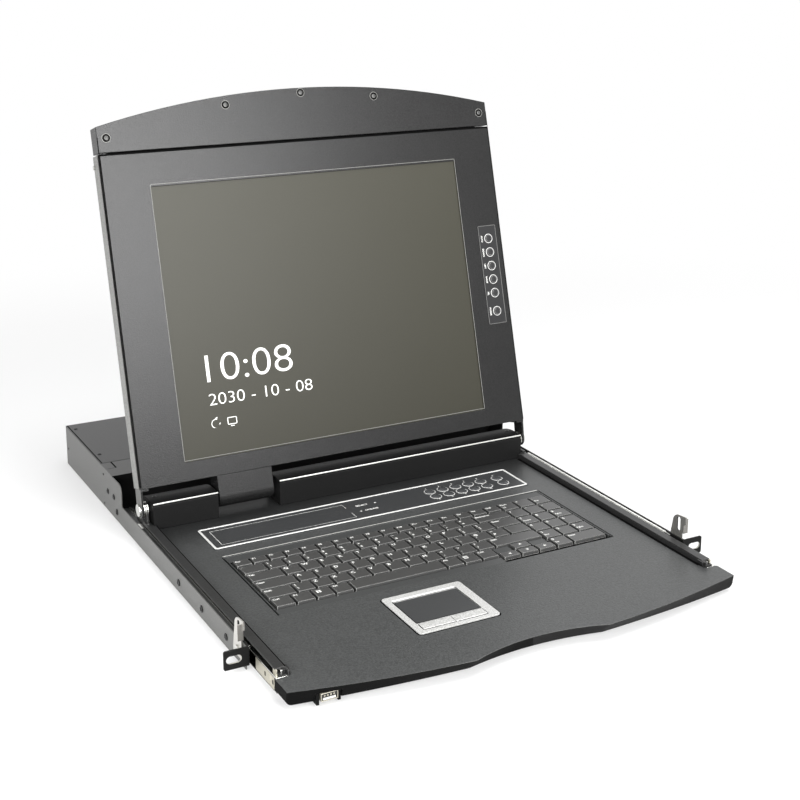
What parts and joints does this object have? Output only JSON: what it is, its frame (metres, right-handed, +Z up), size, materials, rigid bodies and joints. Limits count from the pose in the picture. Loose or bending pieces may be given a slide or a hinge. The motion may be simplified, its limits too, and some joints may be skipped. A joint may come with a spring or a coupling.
{
  "type": "rackmount lcd console drawer",
  "caption": "Rack drawer on telescoping slides with a keyboard, touchpad, button panel and a tilting display.",
  "frame": {"origin": "midway between the two rack ear slots, on the back face of the ears, which lies on the rack rail", "axes": "+X to the user's right, +Y into the rack, +Z up; the drawer opens towards -Y"},
  "size_m": [0.4826, 0.6249, 0.4189],
  "materials": {
    "chassis_steel": "fine texture, satin",
    "ear_steel": "satin",
    "slide_steel": "satin zinc plate",
    "screw_steel": "bright plate",
    "board_laminate": "satin",
    "socket_plastic": "satin",
    "lever_steel": "satin",
    "deck_paint": "fine texture, matt",
    "keyboard_plastic": "matt",
    "silver_plastic": "satin",
    "pad_film": "fine texture, matt",
    "overlay_film": "fine texture, matt",
    "cover_paint": "fine texture, matt",
    "display_paint": "fine texture, satin",
    "bezel_paint": "fine texture, matt",
    "screen_glass": "lit display behind an anti-glare film",
    "arch_plastic": "fine texture, satin",
    "button_plastic": "satin",
    "key_plastic": "satin"
  },
  "bodies": {
    "chassis": {"rear_box_shell": "chassis_steel", "rear_box_cover": "chassis_steel", "side_plate_left": "chassis_steel", "side_plate_right": "chassis_steel", "rack_ear_left": "ear_steel", "rack_ear_right": "ear_steel", "slide_outers": "slide_steel", "lever_pins": "screw_steel", "rear_box_boards": "board_laminate", "rear_sockets": "socket_plastic"},
    "slide_middle": {"slide_middles": "slide_steel"},
    "drawer": {"slide_inners": "slide_steel", "keyboard_deck": "deck_paint", "drawer_pan": "slide_steel", "keyboard_base": "keyboard_plastic", "touchpad_frame": "silver_plastic", "touchpad_pad": "pad_film", "status_panel": "overlay_film", "usb_socket": "screw_steel", "hinge_cover_left": "cover_paint", "hinge_cover_right": "cover_paint", "hinge_brackets": "ear_steel", "hinge_pins": "screw_steel"},
    "display": {"lcd_back_shell": "display_paint", "lcd_front_bezel": "bezel_paint", "lcd_panel": "screen_glass", "arch_trim": "arch_plastic", "lcd_hinge_arms": "ear_steel", "lcd_neck": "cover_paint", "osd_strip": "overlay_film", "lcd_studs": "screw_steel"},
    "lever_left": {"latch_lever_left": "lever_steel"},
    "lever_right": {"latch_lever_right": "lever_steel"},
    "osd_1": {"osd_button_1": "button_plastic"},
    "osd_2": {"osd_button_2": "button_plastic"},
    "osd_3": {"osd_button_3": "button_plastic"},
    "osd_4": {"osd_button_4": "button_plastic"},
    "osd_5": {"osd_button_5": "button_plastic"},
    "osd_6": {"osd_button_6": "button_plastic"},
    "status_1": {"status_button_1": "button_plastic"},
    "status_2": {"status_button_2": "button_plastic"},
    "status_3": {"status_button_3": "button_plastic"},
    "status_4": {"status_button_4": "button_plastic"},
    "status_5": {"status_button_5": "button_plastic"},
    "status_6": {"status_button_6": "button_plastic"},
    "status_7": {"status_button_7": "button_plastic"},
    "status_8": {"status_button_8": "button_plastic"},
    "status_9": {"status_button_9": "button_plastic"},
    "status_10": {"status_button_10": "button_plastic"},
    "status_11": {"status_button_11": "button_plastic"},
    "status_12": {"status_button_12": "button_plastic"},
    "pad_button_left": {"touchpad_button_left": "silver_plastic"},
    "pad_button_right": {"touchpad_button_right": "silver_plastic"},
    "keys_1": {"key_row_1": "key_plastic"},
    "keys_2": {"key_row_2": "key_plastic"},
    "keys_3": {"key_row_3": "key_plastic"},
    "keys_4": {"key_row_4": "key_plastic"},
    "keys_5": {"key_row_5": "key_plastic"},
    "keys_6": {"key_row_6": "key_plastic"}
  },
  "joints": [
    {"name": "drawer_slide", "type": "slide", "parent": "chassis", "child": "drawer", "axis": [0, -1, 0], "range_m": [-0.047, 0.3]},
    {"name": "slide_middle_slide", "type": "slide", "parent": "chassis", "child": "slide_middle", "axis": [0, -1, 0], "range_m": [-0.0235, 0.15]},
    {"name": "display_tilt", "type": "hinge", "parent": "drawer", "child": "display", "pos_m": [0, 0.27857, 0.0203], "axis": [1, 0, 0], "range_deg": [-18, 105.3]},
    {"name": "lever_left_pivot", "type": "hinge", "parent": "chassis", "child": "lever_left", "pos_m": [-0.2229, 0.014, 0], "axis": [1, 0, 0], "range_deg": [0, 12], "stiffness_Nm_per_rad": 0.15, "springref_deg": -20.05},
    {"name": "lever_right_pivot", "type": "hinge", "parent": "chassis", "child": "lever_right", "pos_m": [0.2229, 0.014, 0], "axis": [1, 0, 0], "range_deg": [0, 12], "stiffness_Nm_per_rad": 0.15, "springref_deg": -20.05},
    {"name": "osd_button_1_press", "type": "slide", "parent": "display", "child": "osd_1", "axis": [0, 0.9646, -0.2639], "range_m": [0, 0.0005], "stiffness_N_per_m": 800, "springref_m": -0.0005},
    {"name": "osd_button_2_press", "type": "slide", "parent": "display", "child": "osd_2", "axis": [0, 0.9646, -0.2639], "range_m": [0, 0.0005], "stiffness_N_per_m": 800, "springref_m": -0.0005},
    {"name": "osd_button_3_press", "type": "slide", "parent": "display", "child": "osd_3", "axis": [0, 0.9646, -0.2639], "range_m": [0, 0.0005], "stiffness_N_per_m": 800, "springref_m": -0.0005},
    {"name": "osd_button_4_press", "type": "slide", "parent": "display", "child": "osd_4", "axis": [0, 0.9646, -0.2639], "range_m": [0, 0.0005], "stiffness_N_per_m": 800, "springref_m": -0.0005},
    {"name": "osd_button_5_press", "type": "slide", "parent": "display", "child": "osd_5", "axis": [0, 0.9646, -0.2639], "range_m": [0, 0.0005], "stiffness_N_per_m": 800, "springref_m": -0.0005},
    {"name": "osd_button_6_press", "type": "slide", "parent": "display", "child": "osd_6", "axis": [0, 0.9646, -0.2639], "range_m": [0, 0.0005], "stiffness_N_per_m": 800, "springref_m": -0.0005},
    {"name": "status_button_1_press", "type": "slide", "parent": "drawer", "child": "status_1", "axis": [0, 0, -1], "range_m": [0, 0.0005], "stiffness_N_per_m": 800, "springref_m": -0.0005},
    {"name": "status_button_2_press", "type": "slide", "parent": "drawer", "child": "status_2", "axis": [0, 0, -1], "range_m": [0, 0.0005], "stiffness_N_per_m": 800, "springref_m": -0.0005},
    {"name": "status_button_3_press", "type": "slide", "parent": "drawer", "child": "status_3", "axis": [0, 0, -1], "range_m": [0, 0.0005], "stiffness_N_per_m": 800, "springref_m": -0.0005},
    {"name": "status_button_4_press", "type": "slide", "parent": "drawer", "child": "status_4", "axis": [0, 0, -1], "range_m": [0, 0.0005], "stiffness_N_per_m": 800, "springref_m": -0.0005},
    {"name": "status_button_5_press", "type": "slide", "parent": "drawer", "child": "status_5", "axis": [0, 0, -1], "range_m": [0, 0.0005], "stiffness_N_per_m": 800, "springref_m": -0.0005},
    {"name": "status_button_6_press", "type": "slide", "parent": "drawer", "child": "status_6", "axis": [0, 0, -1], "range_m": [0, 0.0005], "stiffness_N_per_m": 800, "springref_m": -0.0005},
    {"name": "status_button_7_press", "type": "slide", "parent": "drawer", "child": "status_7", "axis": [0, 0, -1], "range_m": [0, 0.0005], "stiffness_N_per_m": 800, "springref_m": -0.0005},
    {"name": "status_button_8_press", "type": "slide", "parent": "drawer", "child": "status_8", "axis": [0, 0, -1], "range_m": [0, 0.0005], "stiffness_N_per_m": 800, "springref_m": -0.0005},
    {"name": "status_button_9_press", "type": "slide", "parent": "drawer", "child": "status_9", "axis": [0, 0, -1], "range_m": [0, 0.0005], "stiffness_N_per_m": 800, "springref_m": -0.0005},
    {"name": "status_button_10_press", "type": "slide", "parent": "drawer", "child": "status_10", "axis": [0, 0, -1], "range_m": [0, 0.0005], "stiffness_N_per_m": 800, "springref_m": -0.0005},
    {"name": "status_button_11_press", "type": "slide", "parent": "drawer", "child": "status_11", "axis": [0, 0, -1], "range_m": [0, 0.0005], "stiffness_N_per_m": 800, "springref_m": -0.0005},
    {"name": "status_button_12_press", "type": "slide", "parent": "drawer", "child": "status_12", "axis": [0, 0, -1], "range_m": [0, 0.0005], "stiffness_N_per_m": 800, "springref_m": -0.0005},
    {"name": "touchpad_button_left_press", "type": "slide", "parent": "drawer", "child": "pad_button_left", "axis": [0, 0, -1], "range_m": [0, 0.0005], "stiffness_N_per_m": 800, "springref_m": -0.0005},
    {"name": "touchpad_button_right_press", "type": "slide", "parent": "drawer", "child": "pad_button_right", "axis": [0, 0, -1], "range_m": [0, 0.0005], "stiffness_N_per_m": 800, "springref_m": -0.0005},
    {"name": "key_row_1_press", "type": "slide", "parent": "drawer", "child": "keys_1", "axis": [0, 0, -1], "range_m": [0, 0.0018], "stiffness_N_per_m": 600, "springref_m": -0.002},
    {"name": "key_row_2_press", "type": "slide", "parent": "drawer", "child": "keys_2", "axis": [0, 0, -1], "range_m": [0, 0.0018], "stiffness_N_per_m": 600, "springref_m": -0.002},
    {"name": "key_row_3_press", "type": "slide", "parent": "drawer", "child": "keys_3", "axis": [0, 0, -1], "range_m": [0, 0.0018], "stiffness_N_per_m": 600, "springref_m": -0.002},
    {"name": "key_row_4_press", "type": "slide", "parent": "drawer", "child": "keys_4", "axis": [0, 0, -1], "range_m": [0, 0.0018], "stiffness_N_per_m": 600, "springref_m": -0.002},
    {"name": "key_row_5_press", "type": "slide", "parent": "drawer", "child": "keys_5", "axis": [0, 0, -1], "range_m": [0, 0.0018], "stiffness_N_per_m": 600, "springref_m": -0.002},
    {"name": "key_row_6_press", "type": "slide", "parent": "drawer", "child": "keys_6", "axis": [0, 0, -1], "range_m": [0, 0.0018], "stiffness_N_per_m": 600, "springref_m": -0.002}
  ],
  "couplings": [
    {"joint": "slide_middle_slide", "follows": "drawer_slide", "ratio": 0.5}
  ]
}
